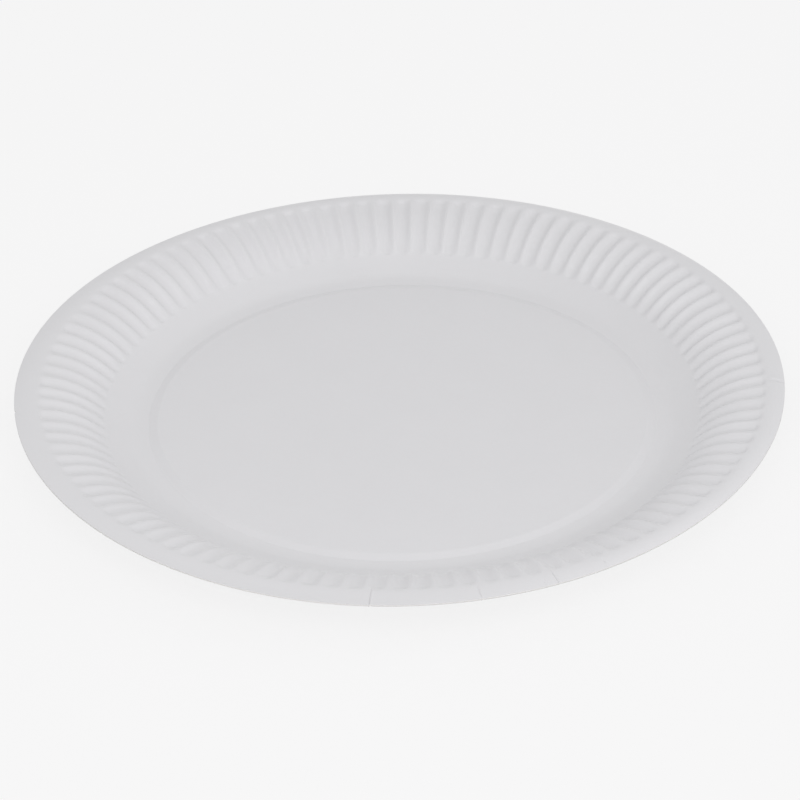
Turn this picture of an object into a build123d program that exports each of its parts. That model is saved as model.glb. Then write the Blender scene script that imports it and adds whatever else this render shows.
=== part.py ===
from build123d import *
import math
import os

# A round paper plate, pressed from one sheet of board. All sizes are in mm, angles in degrees, and a
# slope is rise over run.
# It stands on a narrow flat ring under the edge of its well. Z = 0 is the underside of that ring.

# ---- overall sizes
plate_radius = 115.0
rim_height = 14.2
board = 0.45

# ---- lip: its width, and how far its crest lies in from the cut edge
lip_width = 5.4
lip_crest_inset = 3.8
lip_drop = 1.15
lip_slope = -0.36

# ---- pleated wall
flutes = 108
flute_depth = 0.8
flute_length = 20.4
flute_run_in = 1.8
flute_crest_clearance = 0.04

# ---- foot and well: widths of the smooth foot of the wall, the flat ring and the step up to the well
wall_foot_width = 11.2
foot_width = 2.0
well_step_width = 4.5
well_raise = 0.55

# ---- shape of the wall: heights as shares of the sheet's rise, and the shoulder's place across the wall
wall_foot_share = 0.28
shoulder_share = 0.73
shoulder_reach = 0.617

# ---- slopes of the sheet at the stations, as multiples of the wall's mean slope
wall_foot_steepness = 1.5
wall_steepness = 2.0
shoulder_steepness = 1.25
rim_steepness = 0.5
flute_end_steepness = 0.3

# ---- fits derived from the sizes above
half_board = board / 2
half_flute = flute_depth / 2
pitch = 360.0 / flutes
arc_handle = 4 / 3 * math.tan(math.radians(pitch / 8))
flute_outer_radius = plate_radius - lip_width
flute_inner_radius = flute_outer_radius - flute_length
foot_outer_radius = flute_inner_radius - wall_foot_width
foot_inner_radius = foot_outer_radius - foot_width
well_radius = foot_inner_radius - well_step_width
lip_crest_radius = plate_radius - lip_crest_inset
rise = rim_height - board
run = flute_outer_radius - foot_outer_radius
mean_slope = rise / run
wall_foot_slope = wall_foot_steepness * mean_slope
wall_slope = wall_steepness * mean_slope
shoulder_slope = shoulder_steepness * mean_slope
rim_slope = rim_steepness * mean_slope
flute_end_slope = flute_end_steepness * mean_slope
shoulder_radius = foot_outer_radius + shoulder_reach * run
lip_crest_height = rim_height - half_board
flute_end_height = lip_crest_height - (lip_crest_radius - flute_outer_radius) * flute_end_slope / 2
rim_end_height = lip_crest_height - half_flute - flute_crest_clearance
wall_foot_height = half_board + wall_foot_share * rise
wall_height = wall_foot_height + flute_run_in * (wall_foot_slope + wall_slope) / 2
shoulder_height = half_board + shoulder_share * rise
lip_edge_radius = plate_radius + half_board * math.sin(math.atan(lip_slope))

# Stations of the sheet's middle surface: radius, height, slope, half depth of the flutes.
well_edge = (well_radius, half_board + well_raise, 0.0, 0.0)
foot_inner = (foot_inner_radius, half_board, 0.0, 0.0)
foot_outer = (foot_outer_radius, half_board, 0.0, 0.0)
wall_foot = (flute_inner_radius, wall_foot_height, wall_foot_slope, 0.0)
wall = (flute_inner_radius + flute_run_in, wall_height, wall_slope, half_flute)
shoulder = (shoulder_radius, shoulder_height, shoulder_slope, half_flute)
rim = (flute_outer_radius - flute_run_in, rim_end_height, rim_slope, half_flute)
flute_end = (flute_outer_radius, flute_end_height, flute_end_slope, 0.0)
lip_crest = (lip_crest_radius, lip_crest_height, 0.0, 0.0)
lip_edge = (lip_edge_radius, lip_crest_height - lip_drop, lip_slope, 0.0)


def point_at(station, side, crest):
    # A point of the sheet's section, off the middle surface along the sheet's own normal.
    radius, height, slope, half_depth = station
    off = side * half_board + crest * half_depth
    lean = math.atan(slope)
    return radius - off * math.sin(lean), height + off * math.cos(lean)


def section_points(start, end, side, crest):
    # Four control points of one stretch of the section, true to the slope at both its ends.
    r0, z0 = point_at(start, side, crest)
    r1, z1 = point_at(end, side, crest)
    third = (r1 - r0) / 3
    z_start = z0 + third * start[2]
    z_end = z1 - third * end[2]
    return [(r0, z0), (r0 + third, z_start), (r1 - third, z_end), (r1, z1)]


def turned(point, along, angle):
    # A section point swung round the plate's axis, then moved along the tangent there.
    radius, height = point
    return Vector(radius, along * radius, height).rotate(Axis.Z, angle)


def half_pitch_face(start, end, side, first, last, angle):
    # Half a flute: the section slides from one crest or valley to the next over half a pitch.
    near = section_points(start, end, side, first)
    far = section_points(start, end, side, last)
    step = pitch / 2
    rows = [
        [turned(p, 0, angle) for p in near],
        [turned(p, arc_handle, angle) for p in near],
        [turned(p, -arc_handle, angle + step) for p in far],
        [turned(p, 0, angle + step) for p in far],
    ]
    return Face.make_bezier_surface(rows)


def fluted_faces(start, end, side):
    # One fluted stretch all the way round. The crests are half a pitch from the valleys.
    up = half_pitch_face(start, end, side, -1, 1, 0)
    down = half_pitch_face(start, end, side, 1, -1, pitch / 2)
    return [Rot(0, 0, n * pitch) * face for n in range(flutes) for face in (up, down)]


def smooth_face(start, end, side):
    # One plain stretch, turned about the plate's axis.
    points = [Vector(radius, 0, height) for radius, height in section_points(start, end, side, 0)]
    return Face.revolve(Edge.make_bezier(*points), 360, Axis.Z)


def edge_face():
    # The cut edge of the board, square to the lip.
    (r0, z0), (r1, z1) = point_at(lip_edge, -1, 0), point_at(lip_edge, 1, 0)
    return Face.revolve(Edge.make_line((r0, 0, z0), (r1, 0, z1)), 360, Axis.Z)


def flat_faces(side):
    # The flat floor of the well and the flat foot ring, on one side of the sheet.
    edges = {}
    for station in (well_edge, foot_inner, foot_outer):
        radius, height = point_at(station, side, 0)
        edges[station] = Wire.make_circle(radius, Plane((0, 0, height)))
    return [Face(edges[well_edge]), Face(edges[foot_outer], [edges[foot_inner]])]


def plate():
    # Every stretch of the sheet on both its sides, and the cut edge, sewn into one closed skin.
    smooth = [
        (well_edge, foot_inner),
        (foot_outer, wall_foot),
        (flute_end, lip_crest),
        (lip_crest, lip_edge),
    ]
    fluted = [(wall_foot, wall), (wall, shoulder), (shoulder, rim), (rim, flute_end)]
    faces = [edge_face()]
    for side in (1, -1):
        faces += flat_faces(side)
        faces += [smooth_face(start, end, side) for start, end in smooth]
        for start, end in fluted:
            faces += fluted_faces(start, end, side)
    return Solid(Shell(faces))


os.makedirs("parts", exist_ok=True)
body = plate()
assert body.is_valid and body.is_manifold and body.volume > 0
export_step(body, "parts/plate.step")
print("size", body.bounding_box().size, "volume", body.volume, "faces", len(body.faces()))
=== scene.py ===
import math

import bpy
import numpy as np
from bpy.props import FloatProperty, FloatVectorProperty, IntProperty, PointerProperty
from bpy.types import Operator, Panel, PropertyGroup, Scene
from mathutils import Matrix, Vector


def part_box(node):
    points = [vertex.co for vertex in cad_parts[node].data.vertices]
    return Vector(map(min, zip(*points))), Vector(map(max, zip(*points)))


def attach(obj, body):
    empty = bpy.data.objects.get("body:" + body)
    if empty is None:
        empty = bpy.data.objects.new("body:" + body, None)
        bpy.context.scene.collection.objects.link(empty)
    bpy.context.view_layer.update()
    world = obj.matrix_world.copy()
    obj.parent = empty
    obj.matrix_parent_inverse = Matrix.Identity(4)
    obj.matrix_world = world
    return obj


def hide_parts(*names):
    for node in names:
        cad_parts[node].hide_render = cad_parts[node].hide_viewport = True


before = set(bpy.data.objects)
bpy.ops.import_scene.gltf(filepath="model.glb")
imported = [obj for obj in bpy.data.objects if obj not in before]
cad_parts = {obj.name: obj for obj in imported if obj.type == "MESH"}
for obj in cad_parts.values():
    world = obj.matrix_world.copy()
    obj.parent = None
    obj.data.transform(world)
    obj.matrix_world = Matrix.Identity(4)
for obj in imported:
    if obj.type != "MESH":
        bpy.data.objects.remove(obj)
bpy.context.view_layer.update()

bl_info = {
    "name": "Paper Plate",
    "version": (1, 0, 0),
    "blender": (4, 5, 0),
    "location": "3D View > Sidebar > Paper Plate",
    "description": "Presses a round pleated paper plate and sets a plain stage for it",
    "category": "Add Mesh",
}

PLATE_LOW, PLATE_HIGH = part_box("plate")
PLATE_RADIUS = (PLATE_HIGH[0] - PLATE_LOW[0]) / 2
RIM_HEIGHT = PLATE_HIGH[2] - PLATE_LOW[2]

# Heights along the wall as shares of the sheet's rise, and the shoulder's place across the pleats.
WALL_FOOT_SHARE = 0.28
SHOULDER_SHARE = 0.73
SHOULDER_REACH = 0.42

# Slopes along the wall as multiples of the wall's mean slope.
WALL_FOOT_STEEPNESS = 1.5
WALL_STEEPNESS = 2.0
SHOULDER_STEEPNESS = 1.25
RIM_STEEPNESS = 0.5
PLEAT_END_STEEPNESS = 0.3

# Foot of the wall: distance out from the crease, height above the foot and slope. At the crease itself the
# slope is that of the step of the well.
WALL_FOOT_BEND = (
    (0.0000, 0.00002, None),
    (0.0003, 0.00001, 0.03),
    (0.0018, 0.00006, 0.05),
    (0.0046, 0.00032, 0.15),
    (0.0068, 0.00102, 0.43),
)

# Width of the foot that is too flat to count in the wall's mean slope.
FLAT_FOOT_WIDTH = 0.0015

# Length over which the wall's slope changes at each end of the pleats.
WALL_RUN_IN = 0.0018

# Rounding of the upper edge of the well's step.
STEP_ROUNDING = 0.0004

# Drop of the rim below the top of the lip, as a share of the pleats' depth.
RIM_DROP_SHARE = 0.44

# Slow waves round the plate: turns, size and shift in degrees. The lip's sizes are shares of its mean droop,
# the blank's are metres, and the rim's are shares of the rim wave.
LIP_WAVES = ((1, 0.85, -40.0), (2, 0.40, 43.0), (3, -0.42, -25.0))
BLANK_WAVES = ((2, 0.00044, -90.0), (3, 0.00035, -99.0), (4, 0.00040, 27.0))
RIM_WAVES = ((2, 0.55, 34.38), (3, 0.45, -108.86))

# How far the blank's mean radius falls short of the plate's, and where the rim wave starts, as a share of the
# plate's radius.
BLANK_SHORTFALL = 0.0002
RIM_WAVE_START = 0.68

# Shape of the pleats' wave: sharpness of the crests, and how far the valleys sink toward the lip.
CREST_SHARPNESS = 0.25
VALLEY_SINK = 0.25

# Depth of the pleats: gain on the deep side and its direction in degrees, share at the inner end, and gain by
# the outer end.
SIDE_GAIN = 0.25
DEEP_SIDE = 45.0
INNER_DEPTH = 0.85
DEPTH_GAIN = 0.3

# How much longer a crest takes to fade than a valley, at its inner end and at its outer end.
CREST_NOSE_GAIN = 4.0
CREST_TAIL_GAIN = 1.0

# Change in the pleats' spacing for each unit of unevenness.
SPACING_SHARE = 0.25

# Folds pressed into the lip: angle in degrees, then reach inward from the cut edge, depth and half width.
LIP_FOLDS = (
    (264.9, 0.0068, 0.00017, 0.00016),
    (280.1, 0.0056, 0.00012, 0.00015),
    (289.4, 0.0028, 0.00007, 0.00014),
    (291.2, 0.0060, 0.00015, 0.00016),
    (299.0, 0.0045, 0.00005, 0.00022),
    (356.0, 0.0058, 0.00014, 0.00050),
)

# Nicks in the cut edge: angle in degrees, then depth and half width. They fade out over their reach inward.
# Lengths here and above are in metres.
EDGE_NICKS = (
    (187.0, 0.00040, 0.00050),
    (222.5, 0.00025, 0.00040),
    (235.0, 0.00025, 0.00045),
)
NICK_REACH = 0.0012

# A fold's bead: height as a share of the groove's depth, then place and half width in half widths of the
# groove. A fold of the full depth gets the full painted shade in its groove, and it comes in over a share of
# its reach.
BEAD_HEIGHT = 0.9
BEAD_PLACE = 3.0
BEAD_WIDTH = 2.2
DEEPEST_FOLD = 0.00017
FOLD_FADE = 0.35

# Rings of points: the first one's radius, and how far in from the cut edge the last but one lies.
FIRST_RING = 0.012
EDGE_RING = 0.00015

# Columns of points: even ones to a pleat, and offsets in degrees from a fold or a nick for the close ones.
PLEAT_COLUMNS = 8
FOLD_COLUMNS = np.concatenate((
    np.linspace(-0.9, -0.32, 5),
    np.linspace(-0.25, 0.25, 13),
    np.linspace(0.32, 0.9, 5),
))
NICK_COLUMNS = np.linspace(-0.4, 0.4, 9)
CLOSEST_COLUMNS = 0.03
EVEN_CLEARANCE = 0.06

# Light: strength of the room, the softboxes' width, each one's place and power, and the share of its own
# colour that the floor shows to the camera. The floor is a square just below the plate.
ROOM_STRENGTH = 0.68
SOFTBOX_SIZE = 0.8
FRONT_SOFTBOX = ((0.0, -0.72, 0.65), 3.7)
SIDE_SOFTBOX = ((1.26, 0.0, 0.64), 1.95)
FLOOR_GLOW_SHARE = 0.9
FLOOR_HALF_SIZE = 6.0
FLOOR_DROP = 0.00005
CORNER_SIGNS = ((-1, -1), (1, -1), (1, 1), (-1, 1))

# Gloss of the board, painted shade in a fold (its base colour scaled down), relief of the fibres, share of
# the clouds in the roughness, and then each side's cloud, fibre, roughness and bump.
BOARD_SPECULAR = 0.5
BOARD_SHEEN = 0.25
SHEEN_ROUGHNESS = 0.45
# Painted shade: the board's colour is scaled down to this in the bottom of the deepest fold's groove,
# standing in for the groove's shade.
FOLD_PAINTED_SHADE = 0.93
FIBRE_RELIEF = 0.00003
CLOUD_ROUGHNESS = 0.18
FACE_GRAIN = (0.03, 0.02, 0.42, 0.35)
BACK_GRAIN = (0.06, 0.06, 0.78, 0.6)


class PlateSizes(PropertyGroup):
    """Sizes of the pressed sheet"""

    radius: FloatProperty(
        name="Plate radius",
        description="From the axis to the cut edge",
        default=PLATE_RADIUS,
        unit="LENGTH",
        precision=4,
    )
    rim_height: FloatProperty(
        name="Rim height",
        description="From the table to the top of the lip",
        default=RIM_HEIGHT,
        unit="LENGTH",
        precision=4,
    )
    board: FloatProperty(
        name="Board thickness",
        description="Thickness of the sheet",
        default=0.00045,
        unit="LENGTH",
        precision=5,
    )
    lip_width: FloatProperty(
        name="Lip width",
        description="Width of the smooth lip outside the pleats",
        default=0.0057,
        unit="LENGTH",
        precision=4,
    )
    lip_crest_inset: FloatProperty(
        name="Lip crest inset",
        description="How far the top of the lip lies in from the cut edge",
        default=0.0043,
        unit="LENGTH",
        precision=4,
    )
    lip_droop: FloatProperty(
        name="Lip droop",
        description="Mean slope of the lip at its cut edge, downward",
        default=0.26,
    )
    wall_foot_width: FloatProperty(
        name="Wall foot width",
        description="Width of the smooth stretch from the crease of the well to the pleats",
        default=0.01265,
        unit="LENGTH",
        precision=4,
    )
    well_step_width: FloatProperty(
        name="Well step width",
        description="Width of the step from the crease up to the floor of the well",
        default=0.0029,
        unit="LENGTH",
        precision=4,
    )
    well_raise: FloatProperty(
        name="Well raise",
        description="How far the floor of the well stands above the crease",
        default=0.0007,
        unit="LENGTH",
        precision=5,
    )
    blank_shift: FloatVectorProperty(
        name="Blank shift",
        description="How far the cut edge lies off the centre of the pressing, across the plate",
        default=(-0.00055, -0.0009),
        size=2,
        unit="LENGTH",
        precision=5,
    )
    rim_wave: FloatProperty(
        name="Rim wave",
        description="How far the rim of the pressed board rises and falls round the plate",
        default=0.0003,
        unit="LENGTH",
        precision=5,
    )


class PleatSizes(PropertyGroup):
    """Sizes of the pleats round the wall"""

    count: IntProperty(
        name="Pleats",
        description="Number of pleats round the plate",
        default=108,
        min=12,
    )
    depth: FloatProperty(
        name="Pleat depth",
        description="From the crest of a pleat to its valley",
        default=0.0010,
        unit="LENGTH",
        precision=5,
    )
    length: FloatProperty(
        name="Pleat length",
        description="From the inner ends of the pleats to their outer ends",
        default=0.0202,
        unit="LENGTH",
        precision=4,
    )
    nose: FloatProperty(
        name="Pleat nose",
        description="Length over which the inner end of a pleat rises out of the smooth wall",
        default=0.0010,
        unit="LENGTH",
        precision=5,
    )
    tail: FloatProperty(
        name="Pleat tail",
        description="Length over which the outer end of a pleat fades into the lip",
        default=0.0019,
        unit="LENGTH",
        precision=5,
    )
    turn: FloatProperty(
        name="Pleat turn",
        description="Share of a pitch by which the pleats are turned about the axis",
        default=0.27,
    )
    unevenness: FloatProperty(
        name="Pleat unevenness",
        description="Share by which the depth changes from one pleat to the next",
        default=0.2,
        min=0.0,
        max=1.0,
        subtype="FACTOR",
    )


class BoardFinish(PropertyGroup):
    """Colours of the paperboard"""

    face: FloatVectorProperty(
        name="Face",
        description="Colour of the smooth upper face",
        default=(0.697, 0.6925, 0.709),
        subtype="COLOR",
        size=3,
        min=0.0,
        max=1.0,
    )
    back: FloatVectorProperty(
        name="Back",
        description="Colour of the raw underside and the cut edge",
        default=(0.675, 0.665, 0.655),
        subtype="COLOR",
        size=3,
        min=0.0,
        max=1.0,
    )


class StageSettings(PropertyGroup):
    """Floor, light and camera"""

    floor: FloatVectorProperty(
        name="Floor",
        description="Colour of the floor and the background",
        default=(0.928, 0.926, 0.928),
        subtype="COLOR",
        size=3,
        min=0.0,
        max=1.0,
    )
    elevation: FloatProperty(
        name="Camera elevation",
        description="Angle of the camera above the table",
        default=math.radians(32.63),
        subtype="ANGLE",
    )
    roll: FloatProperty(
        name="Camera roll",
        description="Turn of the camera about its own line of sight",
        default=math.radians(-1.42),
        subtype="ANGLE",
    )
    distance: FloatProperty(
        name="Camera distance",
        description="From the camera to the point it looks at",
        default=0.9994,
        unit="LENGTH",
    )
    aim_height: FloatProperty(
        name="Aim height",
        description="Height above the table of the point that the camera looks at",
        default=0.0060,
        unit="LENGTH",
        precision=4,
    )
    aim_side: FloatProperty(
        name="Aim to the side",
        description="How far to the left of the plate's axis the camera looks",
        default=0.0005,
        unit="LENGTH",
        precision=4,
    )
    aim_front: FloatProperty(
        name="Aim to the front",
        description="How far in front of the plate's axis the camera looks",
        default=0.0007,
        unit="LENGTH",
        precision=4,
    )
    lens: FloatProperty(
        name="Lens",
        description="Focal length of the camera in millimetres",
        default=149.35,
    )


class PaperPlateSettings(PropertyGroup):
    """All the settings of the paper plate"""

    plate: PointerProperty(type=PlateSizes)
    pleats: PointerProperty(type=PleatSizes)
    board: PointerProperty(type=BoardFinish)
    stage: PointerProperty(type=StageSettings)


# ---------------------------------------------------------------- shape of the sheet


def smooth_step(t):
    """0 before 0, 1 after 1, and three t squared less two t cubed between."""
    t = np.clip(t, 0.0, 1.0)
    return t * t * (3 - 2 * t)


def pleat_ends(plate, pleats):
    """Radii at which the pleats begin and end."""
    outer = plate.radius - plate.lip_width
    return outer - pleats.length, outer


def sheet_stations(plate, pleats):
    """Radius, height and slope of the sheet's middle surface where its section changes. The step of the well
    runs down at an even slope to a sharp crease, and slopes on the wall are multiples of the wall's mean
    slope."""
    base = plate.board / 2
    inner, outer = pleat_ends(plate, pleats)
    crease = inner - plate.wall_foot_width
    well = crease - plate.well_step_width
    crest = plate.radius - plate.lip_crest_inset
    rise = plate.rim_height - plate.board
    mean = rise / (outer - crease - FLAT_FOOT_WIDTH)
    top = plate.rim_height - base
    end_height = top - (crest - outer) * PLEAT_END_STEEPNESS * mean / 2
    rim_height = top - RIM_DROP_SHARE * pleats.depth
    foot_height = base + WALL_FOOT_SHARE * rise
    wall_height = foot_height + WALL_RUN_IN * (WALL_FOOT_STEEPNESS + WALL_STEEPNESS) * mean / 2
    shoulder = inner + SHOULDER_REACH * (outer - inner)
    fall = -plate.well_raise / (plate.well_step_width - STEP_ROUNDING / 2)
    step_height = base + plate.well_raise + fall * STEP_ROUNDING / 2
    foot = [(crease + out, base + up, fall if slope is None else slope) for out, up, slope in WALL_FOOT_BEND]
    return np.array([
        (0.0, base + plate.well_raise, 0.0),
        (well, base + plate.well_raise, 0.0),
        (well + STEP_ROUNDING, step_height, fall),
        *foot,
        (inner, foot_height, WALL_FOOT_STEEPNESS * mean),
        (inner + WALL_RUN_IN, wall_height, WALL_STEEPNESS * mean),
        (shoulder, base + SHOULDER_SHARE * rise, SHOULDER_STEEPNESS * mean),
        (outer - WALL_RUN_IN, rim_height, RIM_STEEPNESS * mean),
        (outer, end_height, PLEAT_END_STEEPNESS * mean),
        (crest, top, 0.0),
        (plate.radius, top, 0.0),
    ])


def sheet_section(radius, stations):
    """Height and slope at each radius: between two stations, the cubic with both heights and both slopes."""
    start = np.clip(np.searchsorted(stations[:, 0], radius, side="right") - 1, 0, len(stations) - 2)
    r0, z0, m0 = (stations[start, column] for column in range(3))
    r1, z1, m1 = (stations[start + 1, column] for column in range(3))
    run = r1 - r0
    t = (radius - r0) / run
    height = (
        (2 * t**3 - 3 * t**2 + 1) * z0
        + (t**3 - 2 * t**2 + t) * run * m0
        + (3 * t**2 - 2 * t**3) * z1
        + (t**3 - t**2) * run * m1
    )
    slope = (
        (6 * t**2 - 6 * t) * (z0 - z1) / run
        + (3 * t**2 - 4 * t + 1) * m0
        + (3 * t**2 - 2 * t) * m1
    )
    return height, slope


def pleat_offset(radius, angle, plate, pleats):
    """A wave round the plate: minus the cosine of the phase plus a share of the cosine of twice the phase,
    which makes narrow crests and broad valleys. It fades out at both ends of the pleats, quickly in the
    valleys and over a longer way on the crests, and sinks below the wall toward the lip. It deepens outward
    and toward one side of the plate, and its depth and spacing change a little from one pleat to the next."""
    rng = np.random.default_rng(11)
    depth = 1 + pleats.unevenness * rng.uniform(-1, 1, pleats.count)
    drift = SPACING_SHARE * pleats.unevenness * rng.uniform(-1, 1, pleats.count)
    turn = angle / (2 * math.pi) * pleats.count + pleats.turn
    number = np.floor(turn).astype(int) % pleats.count
    after = (number + 1) % pleats.count
    share = smooth_step(turn - np.floor(turn))
    scale = depth[number] * (1 - share) + depth[after] * share
    slip = drift[number] * (1 - share) + drift[after] * share
    phase = 2 * math.pi * (turn + slip)
    inner, outer = pleat_ends(plate, pleats)
    reach = (radius - inner) / (outer - inner)
    scale = scale * (1 + SIDE_GAIN * np.cos(angle - math.radians(DEEP_SIDE)))
    scale = scale * (INNER_DEPTH + DEPTH_GAIN * reach)
    crest = (1 - np.cos(phase)) / 2
    nose = pleats.nose * (1 + CREST_NOSE_GAIN * crest)
    tail = pleats.tail * (1 + CREST_TAIL_GAIN * crest)
    fade = smooth_step((radius - inner) / nose) * smooth_step((outer - radius) / tail)
    wave = (-np.cos(phase) + CREST_SHARPNESS * np.cos(2 * phase)) / 2 - VALLEY_SINK * reach
    return pleats.depth * scale * fade * wave


def lip_share(radius, plate, pleats):
    """0 at the outer ends of the pleats and inside them, 1 at the cut edge."""
    outer = pleat_ends(plate, pleats)[1]
    return np.clip((radius - outer) / (plate.radius - outer), 0, 1)


def slow_waves(angle, waves):
    """Sum of the cosines of a whole number of turns round the plate, each with its own size and shift."""
    return sum(size * np.cos(turns * angle + math.radians(shift)) for turns, size, shift in waves)


def lip_slope(angle, plate):
    """Slope of the lip at its cut edge, downward: the mean droop and three slow waves round the plate."""
    return plate.lip_droop * (1 + slow_waves(angle, LIP_WAVES))


def lip_fall(radius, angle, plate):
    """Height that the lip loses outside its crest, as the square of the distance from the crest."""
    beyond = np.clip(radius - (plate.radius - plate.lip_crest_inset), 0, None)
    return lip_slope(angle, plate) * beyond**2 / (2 * plate.lip_crest_inset)


def blank_reach(angle, plate):
    """How far the cut edge lies beyond the plate's radius: the blank lies off centre and is out of round."""
    across, along = plate.blank_shift
    shift = across * np.cos(angle) + along * np.sin(angle)
    return shift - BLANK_SHORTFALL + slow_waves(angle, BLANK_WAVES)


def rim_wave(radius, angle, plate):
    """Two and three slow waves round the plate, growing outward from the foot of the wall."""
    reach = np.clip((radius / plate.radius - RIM_WAVE_START) / (1 - RIM_WAVE_START), 0, 1)
    return plate.rim_wave * reach**1.5 * slow_waves(angle, RIM_WAVES)


def angle_from(angle, degrees):
    """Signed angle from a given direction, between minus and plus half a turn."""
    return (angle - math.radians(degrees) + math.pi) % (2 * math.pi) - math.pi


def lip_folds(radius, angle, plate):
    """Folds of the lip: a narrow bell-shaped groove with a wider bead beside it, both along the radius and
    fading inward from the cut edge. Gives the offset of the sheet and the share of painted shade in the
    groove at each point."""
    offset = np.zeros(np.broadcast(radius, angle).shape)
    fold_shade_share = np.zeros(offset.shape)
    for degrees, reach, depth, width in LIP_FOLDS:
        across = angle_from(angle, degrees) * radius / width
        along = smooth_step((radius - (plate.radius - reach)) / (FOLD_FADE * reach))
        groove = np.exp(-(across**2)) * along
        bead = np.exp(-(((across - BEAD_PLACE) / BEAD_WIDTH) ** 2)) * along
        offset += depth * (BEAD_HEIGHT * bead - groove)
        # Painted shade: share of the darker base colour, greatest in the bottom of a groove.
        fold_shade_share = np.maximum(fold_shade_share, groove * depth / DEEPEST_FOLD)
    return offset, fold_shade_share


def edge_nicks(radius, angle, plate):
    """Small bell-shaped bites out of the cut edge."""
    bite = np.zeros(np.broadcast(radius, angle).shape)
    near = smooth_step((radius - (plate.radius - NICK_REACH)) / NICK_REACH)
    for degrees, depth, width in EDGE_NICKS:
        bite += depth * np.exp(-((angle_from(angle, degrees) * radius / width) ** 2)) * near
    return bite


def column_angles(pleats):
    """Even columns to a pleat, with close columns across each fold of the lip and each nick."""
    total = PLEAT_COLUMNS * pleats.count
    even = np.arange(total) / total * 360
    near = [degrees + FOLD_COLUMNS for degrees, *_ in LIP_FOLDS]
    near += [degrees + NICK_COLUMNS for degrees, *_ in EDGE_NICKS]
    close = np.sort(np.concatenate(near))
    close = close[np.concatenate(([True], np.diff(close) > CLOSEST_COLUMNS))]
    gap = np.abs((even[:, None] - close[None, :] + 180) % 360 - 180).min(axis=1)
    keep = gap > EVEN_CLEARANCE
    return np.radians(np.sort(np.concatenate((even[keep], close % 360))))


def row_radii(plate, pleats):
    """Radii of the rings of points, from the centre out, closer where the section bends."""
    stations = sheet_stations(plate, pleats)[:, 0]
    well, crease = stations[1], stations[3]
    foot_end = crease + WALL_FOOT_BEND[-1][0]
    inner, outer = pleat_ends(plate, pleats)
    spans = [
        np.linspace(FIRST_RING, well, 4),
        [well + STEP_ROUNDING / 2, well + STEP_ROUNDING, well + 0.0015, crease - 0.0004],
        [crease - 0.0001, crease + 0.0001, crease + 0.0004],
        np.linspace(crease + 0.0015, foot_end, 5),
        np.linspace(foot_end, inner, 4)[1:],
        np.linspace(inner, inner + pleats.nose, 5)[1:],
        np.linspace(inner + pleats.nose, outer - pleats.tail, 7)[1:],
        np.linspace(outer - pleats.tail, outer, 5)[1:],
        np.linspace(outer, plate.radius - EDGE_RING, 6)[1:],
        [plate.radius],
    ]
    return np.concatenate(spans)


def sheet_surface(plate, pleats):
    """Points of the closed sheet on a grid: one row for each ring, out along the face, round the cut edge and
    back along the underside. A point lies half the board's thickness from the middle surface, along the
    section's own normal, and the cut edge is upright. Gives the points, the side of the sheet that each row
    lies on, and the share of the folds' painted shade at each point."""
    stations = sheet_stations(plate, pleats)
    angle = column_angles(pleats)[None, :]
    out = row_radii(plate, pleats)
    radius = np.concatenate((out, out[-1:], out[::-1]))[:, None]
    side = np.concatenate((np.ones(len(out)), [0.0], -np.ones(len(out))))[:, None]
    height, slope = sheet_section(radius, stations)
    lean = np.where(radius < plate.radius, np.arctan(slope), 0.0)
    folds, fold_shade_share = lip_folds(radius, angle, plate)
    off = side * plate.board / 2 + pleat_offset(radius, angle, plate, pleats) + folds
    r = radius - off * np.sin(lean) - edge_nicks(radius, angle, plate)
    r = r + lip_share(radius, plate, pleats) * blank_reach(angle, plate)
    z = height + off * np.cos(lean) - lip_fall(radius, angle, plate) + rim_wave(radius, angle, plate)
    points = np.stack((r * np.cos(angle), r * np.sin(angle), z), axis=-1)
    return points, side[:, 0], fold_shade_share


def closed_grid_mesh(name, rows, low_pole, high_pole):
    """A mesh from rings of points: a fan at each pole and four-sided faces between neighbouring rings."""
    rings, columns = rows.shape[:2]
    verts = np.concatenate((rows.reshape(-1, 3), [high_pole], [low_pole]))
    here = np.arange(columns)
    after = (here + 1) % columns
    ring = np.arange(rings - 1)[:, None] * columns
    quads = np.stack((ring + here, ring + columns + here, ring + columns + after, ring + after), axis=-1)
    last = (rings - 1) * columns
    top = np.stack((np.full(columns, rings * columns), here, after), axis=-1)
    bottom = np.stack((np.full(columns, rings * columns + 1), last + after, last + here), axis=-1)
    mesh = bpy.data.meshes.new(name)
    mesh.from_pydata(verts.tolist(), [], quads.reshape(-1, 4).tolist() + top.tolist() + bottom.tolist())
    mesh.polygons.foreach_set("use_smooth", np.ones(len(mesh.polygons), dtype=bool))
    return mesh


# ---------------------------------------------------------------- finish of the board


def wire(tree, source, target):
    """A link between two sockets."""
    tree.links.new(source, target)


def add_node(tree, kind, **values):
    """A node with its own settings, and its unlinked inputs by name."""
    node = tree.nodes.new(kind)
    for key, value in values.items():
        if key in node.inputs:
            node.inputs[key].default_value = value
        else:
            setattr(node, key, value)
    return node


def noise(tree, coordinates, scale, detail, roughness):
    """A noise texture on the given coordinates."""
    node = add_node(tree, "ShaderNodeTexNoise", Scale=scale, Detail=detail, Roughness=roughness)
    wire(tree, coordinates, node.inputs["Vector"])
    return node.outputs["Fac"]


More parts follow.
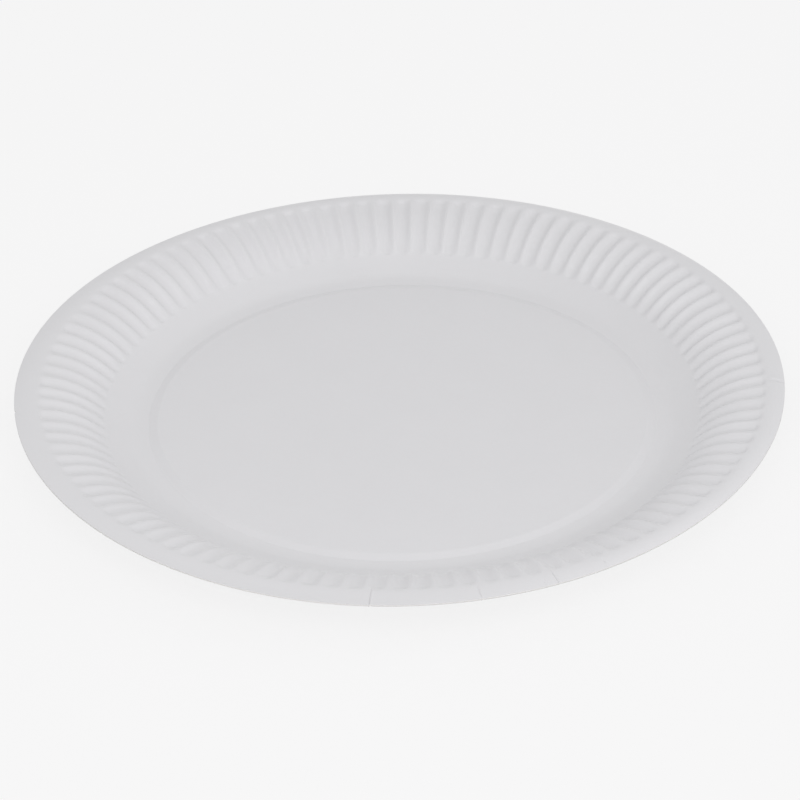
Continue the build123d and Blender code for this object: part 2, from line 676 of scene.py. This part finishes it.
def fibre_group():
    """Paper fibre: fine fibres that run mostly one way and cloudy unevenness of the sheet."""
    group = bpy.data.node_groups.new("Paper fibre", "ShaderNodeTree")
    face = group.interface
    face.new_socket("Coordinates", in_out="INPUT", socket_type="NodeSocketVector")
    for name, value in (("Cloud", 0.02), ("Fibre", 0.015), ("Roughness", 0.6)):
        socket = face.new_socket(name, in_out="INPUT", socket_type="NodeSocketFloat")
        socket.default_value = value
    colour = face.new_socket("Board colour", in_out="INPUT", socket_type="NodeSocketColor")
    colour.default_value = (0.7, 0.7, 0.7, 1.0)
    face.new_socket("Colour", in_out="OUTPUT", socket_type="NodeSocketColor")
    face.new_socket("Roughness", in_out="OUTPUT", socket_type="NodeSocketFloat")
    face.new_socket("Height", in_out="OUTPUT", socket_type="NodeSocketFloat")

    start = group.nodes.new("NodeGroupInput")
    end = group.nodes.new("NodeGroupOutput")
    lay = add_node(group, "ShaderNodeMapping", Scale=(420.0, 1900.0, 1200.0))
    wire(group, start.outputs["Coordinates"], lay.inputs["Vector"])
    cross = add_node(group, "ShaderNodeMapping", Scale=(1500.0, 520.0, 1100.0))
    wire(group, start.outputs["Coordinates"], cross.inputs["Vector"])
    long_fibre = noise(group, lay.outputs["Vector"], 1.0, 3.0, 0.6)
    short_fibre = noise(group, cross.outputs["Vector"], 1.0, 3.0, 0.6)
    cloud = noise(group, start.outputs["Coordinates"], 55.0, 4.0, 0.55)

    fibres = add_node(group, "ShaderNodeMath", operation="ADD")
    wire(group, long_fibre, fibres.inputs[0])
    wire(group, short_fibre, fibres.inputs[1])
    fibre_shade = add_node(group, "ShaderNodeMath", operation="MULTIPLY_ADD")
    centred = add_node(group, "ShaderNodeMath", operation="SUBTRACT")
    wire(group, fibres.outputs[0], centred.inputs[0])
    centred.inputs[1].default_value = 1.0
    wire(group, centred.outputs[0], fibre_shade.inputs[0])
    wire(group, start.outputs["Fibre"], fibre_shade.inputs[1])
    fibre_shade.inputs[2].default_value = 1.0
    cloud_centred = add_node(group, "ShaderNodeMath", operation="SUBTRACT")
    wire(group, cloud, cloud_centred.inputs[0])
    cloud_centred.inputs[1].default_value = 0.5
    shade = add_node(group, "ShaderNodeMath", operation="MULTIPLY_ADD")
    wire(group, cloud_centred.outputs[0], shade.inputs[0])
    wire(group, start.outputs["Cloud"], shade.inputs[1])
    wire(group, fibre_shade.outputs[0], shade.inputs[2])

    tinted = add_node(group, "ShaderNodeVectorMath", operation="SCALE")
    wire(group, start.outputs["Board colour"], tinted.inputs[0])
    wire(group, shade.outputs[0], tinted.inputs["Scale"])
    wire(group, tinted.outputs["Vector"], end.inputs["Colour"])

    rough = add_node(group, "ShaderNodeMath", operation="MULTIPLY_ADD")
    wire(group, cloud_centred.outputs[0], rough.inputs[0])
    rough.inputs[1].default_value = CLOUD_ROUGHNESS
    wire(group, start.outputs["Roughness"], rough.inputs[2])
    wire(group, rough.outputs[0], end.inputs["Roughness"])
    wire(group, fibres.outputs[0], end.inputs["Height"])
    return group


def board_material(name, colour, group, cloud, fibre, roughness, bump):
    """Paperboard with a soft gloss and a faint sheen, with painted shade in a fold: a darker base colour
    there.
    """
    material = bpy.data.materials.new(name)
    material.use_nodes = True
    tree = material.node_tree
    shader = tree.nodes["Principled BSDF"]
    shader.inputs["Specular IOR Level"].default_value = BOARD_SPECULAR
    shader.inputs["Sheen Weight"].default_value = BOARD_SHEEN
    shader.inputs["Sheen Roughness"].default_value = SHEEN_ROUGHNESS
    place = add_node(tree, "ShaderNodeTexCoord")
    fibres = tree.nodes.new("ShaderNodeGroup")
    fibres.node_tree = group
    fibres.inputs["Board colour"].default_value = (*colour, 1.0)
    fibres.inputs["Cloud"].default_value = cloud
    fibres.inputs["Fibre"].default_value = fibre
    fibres.inputs["Roughness"].default_value = roughness
    wire(tree, place.outputs["Object"], fibres.inputs["Coordinates"])
    # Painted shade: the base colour is darkened along the folds' grooves, read from the point attribute.
    fold = add_node(tree, "ShaderNodeAttribute", attribute_name="fold")
    shade = add_node(tree, "ShaderNodeMapRange")
    shade.inputs["To Min"].default_value = 1.0
    shade.inputs["To Max"].default_value = FOLD_PAINTED_SHADE
    wire(tree, fold.outputs["Fac"], shade.inputs["Value"])
    fold_shaded_colour = add_node(tree, "ShaderNodeVectorMath", operation="SCALE")
    wire(tree, fibres.outputs["Colour"], fold_shaded_colour.inputs[0])
    wire(tree, shade.outputs["Result"], fold_shaded_colour.inputs["Scale"])
    wire(tree, fold_shaded_colour.outputs["Vector"], shader.inputs["Base Color"])
    wire(tree, fibres.outputs["Roughness"], shader.inputs["Roughness"])
    grain = add_node(tree, "ShaderNodeBump", Strength=bump, Distance=FIBRE_RELIEF)
    wire(tree, fibres.outputs["Height"], grain.inputs["Height"])
    wire(tree, grain.outputs["Normal"], shader.inputs["Normal"])
    return material


# ---------------------------------------------------------------- operators


class PLATE_OT_press(Operator):
    """Press the plate: the well, the pleated wall and the lip, from one sheet of board"""

    bl_idname = "paper_plate.press"
    bl_label = "Press plate"

    def execute(self, context):
        settings = context.scene.paper_plate
        plate, pleats = settings.plate, settings.pleats
        rows, side, fold_shade_share = sheet_surface(plate, pleats)
        height = float(sheet_stations(plate, pleats)[0, 1])
        half = plate.board / 2
        mesh = closed_grid_mesh("plate_sheet", rows, (0, 0, height - half), (0, 0, height + half))
        if mesh.validate():
            raise RuntimeError("the sheet's grid has faulty faces")
        piece = bpy.data.objects.new("plate_sheet", mesh)
        context.scene.collection.objects.link(piece)

        group = fibre_group()
        face = board_material("Smooth board face", settings.board.face, group, *FACE_GRAIN)
        back = board_material("Raw board back", settings.board.back, group, *BACK_GRAIN)
        mesh.materials.append(face)
        mesh.materials.append(back)
        # Painted shade in the lip's folds, stored on each point for the board materials.
        folds = mesh.attributes.new("fold", "FLOAT", "POINT")
        folds.data.foreach_set("value", np.concatenate((fold_shade_share.ravel(), [0.0, 0.0])))
        columns = rows.shape[1]
        quads = (rows.shape[0] - 1) * columns
        last_face_ring = int(np.argmax(side < 1)) - 1
        slots = np.zeros(len(mesh.polygons), dtype=np.int32)
        slots[last_face_ring * columns:quads] = 1
        slots[quads + columns:] = 1
        mesh.polygons.foreach_set("material_index", slots)
        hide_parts("plate")
        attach(piece, "root")
        return {"FINISHED"}


class PLATE_OT_stage(Operator):
    """Set the floor, the light and the camera"""

    bl_idname = "paper_plate.stage"
    bl_label = "Set stage"

    def execute(self, context):
        stage = context.scene.paper_plate.stage
        scene = context.scene
        scene.view_settings.view_transform = "Standard"
        self.lay_floor(scene, stage)
        self.light(scene, stage)
        self.place_camera(scene, stage)
        return {"FINISHED"}

    def lay_floor(self, scene, stage):
        """A pale floor that shows mostly its own colour to the camera and still keeps the plate's shadow."""
        mesh = bpy.data.meshes.new("floor")
        corners = [(x * FLOOR_HALF_SIZE, y * FLOOR_HALF_SIZE, -FLOOR_DROP) for x, y in CORNER_SIGNS]
        mesh.from_pydata(corners, [], [(0, 1, 2, 3)])
        floor = bpy.data.objects.new("floor", mesh)
        scene.collection.objects.link(floor)
        material = bpy.data.materials.new("Pale floor")
        material.use_nodes = True
        tree = material.node_tree
        shader = tree.nodes["Principled BSDF"]
        shader.inputs["Base Color"].default_value = (*stage.floor, 1.0)
        shader.inputs["Roughness"].default_value = 0.9
        shader.inputs["Specular IOR Level"].default_value = 0.0
        glow = add_node(tree, "ShaderNodeEmission")
        glow.inputs["Color"].default_value = (*stage.floor, 1.0)
        rays = add_node(tree, "ShaderNodeLightPath")
        seen = add_node(tree, "ShaderNodeMath", operation="MAXIMUM")
        wire(tree, rays.outputs["Is Camera Ray"], seen.inputs[0])
        wire(tree, rays.outputs["Is Glossy Ray"], seen.inputs[1])
        share = add_node(tree, "ShaderNodeMath", operation="MULTIPLY")
        wire(tree, seen.outputs[0], share.inputs[0])
        share.inputs[1].default_value = FLOOR_GLOW_SHARE
        blend = add_node(tree, "ShaderNodeMixShader")
        wire(tree, share.outputs[0], blend.inputs[0])
        wire(tree, shader.outputs["BSDF"], blend.inputs[1])
        wire(tree, glow.outputs["Emission"], blend.inputs[2])
        wire(tree, blend.outputs["Shader"], tree.nodes["Material Output"].inputs["Surface"])
        mesh.materials.append(material)

    def light(self, scene, stage):
        """An even white room, seen by the camera in the floor's colour, and two softboxes."""
        world = bpy.data.worlds.new("Soft room")
        world.use_nodes = True
        scene.world = world
        tree = world.node_tree
        room = tree.nodes["Background"]
        room.inputs["Color"].default_value = (1.0, 1.0, 1.0, 1.0)
        room.inputs["Strength"].default_value = ROOM_STRENGTH
        pale = add_node(tree, "ShaderNodeBackground", Strength=1.0)
        pale.inputs["Color"].default_value = (*stage.floor, 1.0)
        rays = add_node(tree, "ShaderNodeLightPath")
        blend = add_node(tree, "ShaderNodeMixShader")
        wire(tree, rays.outputs["Is Camera Ray"], blend.inputs[0])
        wire(tree, room.outputs[0], blend.inputs[1])
        wire(tree, pale.outputs[0], blend.inputs[2])
        wire(tree, blend.outputs[0], tree.nodes["World Output"].inputs["Surface"])

        self.lamp(scene, "Front softbox", *FRONT_SOFTBOX)
        self.lamp(scene, "Side softbox", *SIDE_SOFTBOX)

    def lamp(self, scene, name, place, power):
        """A round softbox that faces the plate's axis at the height of the table."""
        data = bpy.data.lights.new(name, "AREA")
        data.shape = "DISK"
        data.size = SOFTBOX_SIZE
        data.energy = power
        lamp = bpy.data.objects.new(name, data)
        scene.collection.objects.link(lamp)
        place = Vector(place)
        lamp.matrix_world = Matrix.Translation(place) @ place.to_track_quat("Z", "Y").to_matrix().to_4x4()

    def place_camera(self, scene, stage):
        """A camera in front of the plate, turned a little about its own line of sight."""
        data = bpy.data.cameras.new("Camera")
        data.lens = stage.lens
        data.sensor_width = 36.0
        data.clip_start = 0.05
        camera = bpy.data.objects.new("Camera", data)
        scene.collection.objects.link(camera)
        back = Vector((0.0, -math.cos(stage.elevation), math.sin(stage.elevation)))
        aim = Vector((-stage.aim_side, -stage.aim_front, stage.aim_height))
        turn = back.to_track_quat("Z", "Y").to_matrix() @ Matrix.Rotation(stage.roll, 3, "Z")
        camera.matrix_world = Matrix.Translation(aim + back * stage.distance) @ turn.to_4x4()
        scene.camera = camera


class PLATE_PT_panel(Panel):
    """Lists the operators and the sizes"""

    bl_idname = "PLATE_PT_panel"
    bl_label = "Paper Plate"
    bl_space_type = "VIEW_3D"
    bl_region_type = "UI"
    bl_category = "Paper Plate"

    def draw(self, context):
        settings = context.scene.paper_plate
        layout = self.layout
        for operator in (PLATE_OT_press, PLATE_OT_stage):
            layout.operator(operator.bl_idname)
        for group in (settings.plate, settings.pleats, settings.board, settings.stage):
            box = layout.box()
            for name in group.bl_rna.properties.keys():
                if name not in ("rna_type", "name"):
                    box.prop(group, name)


CLASSES = (
    PlateSizes,
    PleatSizes,
    BoardFinish,
    StageSettings,
    PaperPlateSettings,
    PLATE_OT_press,
    PLATE_OT_stage,
    PLATE_PT_panel,
)


def register():
    for cls in CLASSES:
        bpy.utils.register_class(cls)
    Scene.paper_plate = PointerProperty(type=PaperPlateSettings)


def unregister():
    del Scene.paper_plate
    for cls in reversed(CLASSES):
        bpy.utils.unregister_class(cls)


def main():
    register()
    bpy.ops.paper_plate.press()
    bpy.ops.paper_plate.stage()


if __name__ == "__main__":
    main()
